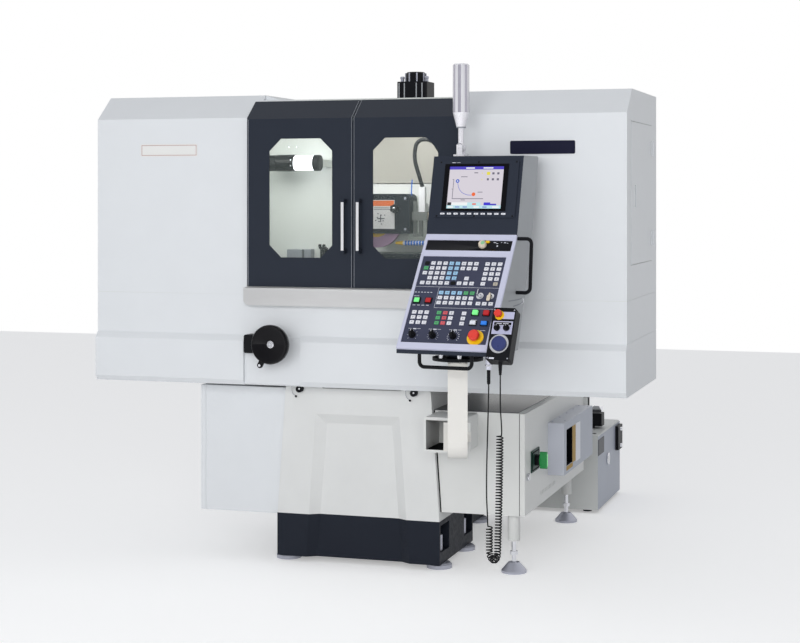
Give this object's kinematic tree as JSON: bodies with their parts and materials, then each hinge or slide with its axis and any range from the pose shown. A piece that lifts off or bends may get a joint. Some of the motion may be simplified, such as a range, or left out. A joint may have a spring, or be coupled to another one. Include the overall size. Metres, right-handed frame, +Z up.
{
  "type": "surface grinder",
  "caption": "CNC column surface grinder in a white sheet-metal enclosure with sliding dark doors, pedestal base, electrical cabinet, coolant tank and a control pendant on a swing arm.",
  "frame": {"origin": "bottom centre of the whole machine's bounding box, on the floor", "axes": "+X to the operator's right, +Y from the operator to the back of the machine, +Z up"},
  "size_m": [2.1724, 2.6654, 1.99],
  "materials": {
    "white_paint": "satin",
    "grey_paint": "satin",
    "dark_paint": "satin",
    "stainless": "brushed",
    "steel": "ground",
    "dark_steel": "ground",
    "chrome": "polished",
    "aluminium": "anodised",
    "casting": "painted",
    "clear_pane": "clear",
    "black_plastic": "matte",
    "gloss_black": "gloss",
    "red_plastic": "gloss",
    "green_plastic": "gloss",
    "lamp_plastic": "gloss",
    "panel_foil": "matte",
    "abrasive": "rough"
  },
  "bodies": {
    "machine_frame": {"base_casting": "casting", "base_plinth": "dark_paint", "levelling_feet": "steel", "left_side_cover": "white_paint", "electrical_cabinet": "white_paint", "casing_left": "white_paint", "casing_right": "white_paint", "lower_casing": "white_paint", "rear_casing": "white_paint", "door_sill": "stainless", "drip_tray": "stainless", "work_lamp": "aluminium", "column_casting": "casting", "z_motor": "dark_paint", "way_cover_upper": "stainless", "handwheel_bracket": "gloss_black", "arm_bracket": "white_paint", "coolant_tank": "white_paint"},
    "cabinet_side": {"cabinet_door": "white_paint", "heat_exchanger": "white_paint"},
    "switch_handle": {"main_switch_handle": "green_plastic"},
    "cabinet_latch": {"door_latch": "chrome"},
    "side_door": {"side_access_door": "white_paint"},
    "left_door": {"door_left": "dark_paint", "window_left": "clear_pane"},
    "right_door": {"door_right": "dark_paint", "window_right": "clear_pane"},
    "head": {"spindle_head": "casting", "wheel_guard": "dark_paint", "coolant_nozzle": "steel", "way_cover_lower": "stainless"},
    "guard_turn_knob": {"guard_knob": "black_plastic"},
    "spindle": {"spindle_shaft": "steel", "grinding_wheel": "abrasive"},
    "vertical_screw": {"head_screw": "steel"},
    "cross_slide": {"saddle": "casting"},
    "cross_screw": {"saddle_screw": "steel"},
    "long_screw": {"table_screw": "steel"},
    "work_table": {"table": "casting", "magnetic_chuck": "dark_steel"},
    "hand_wheel": {"handwheel": "gloss_black"},
    "swing_arm": {"pendant_arm": "white_paint"},
    "pendant": {"pendant_housing": "grey_paint", "pendant_panel": "panel_foil", "display_unit": "dark_paint", "pendant_fittings": "chrome", "hand_pendant": "black_plastic", "hand_pendant_cord": "black_plastic"},
    "tower": {"signal_tower": "lamp_plastic"},
    "stop_button": {"emergency_stop": "red_plastic"},
    "mode_dial": {"mode_knob": "black_plastic"},
    "speed_dial": {"speed_knob": "black_plastic"},
    "feed_dial": {"feed_knob": "black_plastic"},
    "key_lock": {"key_switch": "chrome"},
    "start_key": {"start_button": "green_plastic"},
    "hold_key": {"hold_button": "red_plastic"},
    "jog_dial": {"hand_pendant_dial": "gloss_black"},
    "jog_stop": {"hand_pendant_stop": "red_plastic"},
    "axis_dial": {"axis_selector": "black_plastic"},
    "step_dial": {"step_selector": "black_plastic"}
  },
  "joints": [
    {"name": "door_left_slide", "type": "slide", "parent": "machine_frame", "child": "left_door", "axis": [-1, 0, 0], "range_m": [0, 0.4]},
    {"name": "door_right_slide", "type": "slide", "parent": "machine_frame", "child": "right_door", "axis": [1, 0, 0], "range_m": [0, 0.4]},
    {"name": "cabinet_hinge", "type": "hinge", "parent": "machine_frame", "child": "cabinet_side", "pos_m": [0.67015, 0.59366, 0.42], "axis": [0, 0, 1], "range_deg": [0, 100]},
    {"name": "main_switch_turn", "type": "hinge", "parent": "cabinet_side", "child": "switch_handle", "pos_m": [0.66685, -0.39934, 0.419], "axis": [1, 0, 0], "range_deg": [0, 90]},
    {"name": "latch_turn", "type": "hinge", "parent": "cabinet_side", "child": "cabinet_latch", "pos_m": [0.66185, -0.52734, 0.372], "axis": [1, 0, 0], "range_deg": [0, 90]},
    {"name": "side_door_hinge", "type": "hinge", "parent": "machine_frame", "child": "side_door", "pos_m": [1.08015, -0.10734, 1.46], "axis": [0, 0, 1], "range_deg": [0, 110]},
    {"name": "head_slide", "type": "slide", "parent": "machine_frame", "child": "head", "axis": [0, 0, 1], "range_m": [-0.012, 0.14], "deforming": ["way_cover_upper"]},
    {"name": "head_screw_turn", "type": "hinge", "parent": "machine_frame", "child": "vertical_screw", "pos_m": [-0.00615, 0.20466, 1.4], "axis": [0, 0, 1], "range_deg": [-500, 6000]},
    {"name": "guard_knob_turn", "type": "hinge", "parent": "head", "child": "guard_turn_knob", "pos_m": [0.10485, -0.43734, 1.4], "axis": [0, 1, 0], "range_deg": [0, 90]},
    {"name": "spindle_turn", "type": "hinge", "parent": "head", "child": "spindle", "pos_m": [0.00985, -0.38334, 1.345], "axis": [0, 1, 0], "continuous": true},
    {"name": "saddle_slide", "type": "slide", "parent": "machine_frame", "child": "cross_slide", "axis": [0, 1, 0], "range_m": [-0.1, 0.1]},
    {"name": "saddle_screw_turn", "type": "hinge", "parent": "machine_frame", "child": "cross_screw", "pos_m": [-0.00615, -0.28334, 0.922], "axis": [0, 1, 0], "range_deg": [-3700, 3700]},
    {"name": "table_slide", "type": "slide", "parent": "cross_slide", "child": "work_table", "axis": [1, 0, 0], "range_m": [-0.3, 0.195]},
    {"name": "table_screw_turn", "type": "hinge", "parent": "cross_slide", "child": "long_screw", "pos_m": [-0.00615, -0.38334, 1], "axis": [1, 0, 0], "range_deg": [-10900, 7100]},
    {"name": "handwheel_turn", "type": "hinge", "parent": "machine_frame", "child": "hand_wheel", "pos_m": [-0.29315, -0.76734, 0.877], "axis": [0, 1, 0], "continuous": true},
    {"name": "arm_swing", "type": "hinge", "parent": "machine_frame", "child": "swing_arm", "pos_m": [0.49585, -0.76534, 0.55], "axis": [0, 0, 1], "range_deg": [-4, 4]},
    {"name": "pendant_swivel", "type": "hinge", "parent": "swing_arm", "child": "pendant", "pos_m": [0.54585, -1.10634, 0.884], "axis": [0, 0, 1], "range_deg": [-4, 20]},
    {"name": "tower_fold", "type": "hinge", "parent": "pendant", "child": "tower", "pos_m": [0.47833, -0.81714, 1.62673], "axis": [0.1103, 0.9939, 0], "range_deg": [-90, 0]},
    {"name": "emergency_stop_push", "type": "slide", "parent": "pendant", "child": "stop_button", "axis": [0.0899, 0.8109, -0.5783], "range_m": [0, 0.005], "stiffness_N_per_m": 2000},
    {"name": "mode_knob_turn", "type": "hinge", "parent": "pendant", "child": "mode_dial", "pos_m": [0.40808, -1.20617, 0.96598], "axis": [-0.0899, -0.8109, 0.5783], "range_deg": [-75, 75]},
    {"name": "speed_knob_turn", "type": "hinge", "parent": "pendant", "child": "speed_dial", "pos_m": [0.48425, -1.21462, 0.96598], "axis": [-0.0899, -0.8109, 0.5783], "range_deg": [-120, 120]},
    {"name": "feed_knob_turn", "type": "hinge", "parent": "pendant", "child": "feed_dial", "pos_m": [0.56042, -1.22307, 0.96598], "axis": [-0.0899, -0.8109, 0.5783], "range_deg": [-150, 150]},
    {"name": "key_turn", "type": "hinge", "parent": "pendant", "child": "key_lock", "pos_m": [0.63333, -1.13399, 1.10222], "axis": [-0.0899, -0.8109, 0.5783], "range_deg": [-90, 0]},
    {"name": "start_push", "type": "slide", "parent": "pendant", "child": "start_key", "axis": [0.0899, 0.8109, -0.5783], "range_m": [0, 0.003], "stiffness_N_per_m": 800},
    {"name": "hold_push", "type": "slide", "parent": "pendant", "child": "hold_key", "axis": [0.0899, 0.8109, -0.5783], "range_m": [0, 0.003], "stiffness_N_per_m": 800},
    {"name": "jog_dial_turn", "type": "hinge", "parent": "pendant", "child": "jog_dial", "pos_m": [0.74623, -1.30443, 0.95037], "axis": [-0.0999, -0.9008, 0.4226], "continuous": true},
    {"name": "jog_stop_push", "type": "slide", "parent": "pendant", "child": "jog_stop", "axis": [0.0999, 0.9008, -0.4226], "range_m": [0, 0.004], "stiffness_N_per_m": 1500},
    {"name": "axis_selector_turn", "type": "hinge", "parent": "pendant", "child": "axis_dial", "pos_m": [0.73204, -1.27819, 1.00293], "axis": [-0.0999, -0.9008, 0.4226], "range_deg": [-90, 90]},
    {"name": "step_selector_turn", "type": "hinge", "parent": "pendant", "child": "step_dial", "pos_m": [0.76583, -1.28194, 1.00293], "axis": [-0.0999, -0.9008, 0.4226], "range_deg": [-60, 60]}
  ],
  "couplings": [
    {"joint": "head_screw_turn", "follows": "head_slide", "rad_per_m": 628.32},
    {"joint": "saddle_screw_turn", "follows": "saddle_slide", "rad_per_m": 628.32},
    {"joint": "table_screw_turn", "follows": "table_slide", "rad_per_m": 628.32}
  ]
}
